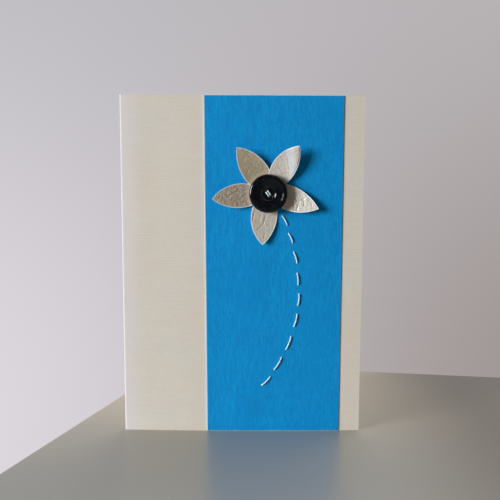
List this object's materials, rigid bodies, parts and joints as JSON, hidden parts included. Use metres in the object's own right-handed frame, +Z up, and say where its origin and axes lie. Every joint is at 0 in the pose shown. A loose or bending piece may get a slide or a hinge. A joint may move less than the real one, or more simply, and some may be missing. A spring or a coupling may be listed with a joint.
{
  "type": "greeting card",
  "caption": "Half-open greeting card: a folded ivory sheet with a glued blue strip, a paper-petal flower with a sewn button centre and a stitched stem.",
  "frame": {"origin": "on the surface that the card stands on, under the middle of the standing card's outline box", "axes": "+Z up along the fold, +X along the front leaf from the fold to its free edge, -Y the way the front leaf faces"},
  "size_m": [0.105, 0.0692, 0.148],
  "materials": {
    "ivory_card": "uncoated card with fine laid lines",
    "blue_card": "uncoated card with a fibrous grain",
    "pearl_paper": "embossed paper with a pearly sheen",
    "black_plastic": "polished",
    "white_thread": "twisted cotton"
  },
  "bodies": {
    "root": {"card_blank": "ivory_card", "front_panel": "blue_card", "petal_lower": "pearl_paper", "petal_right": "pearl_paper", "petal_left": "pearl_paper", "petal_upper_left": "pearl_paper", "petal_upper_right": "pearl_paper", "button": "black_plastic", "button_thread": "white_thread", "stem_thread": "white_thread"}
  },
  "joints": []
}
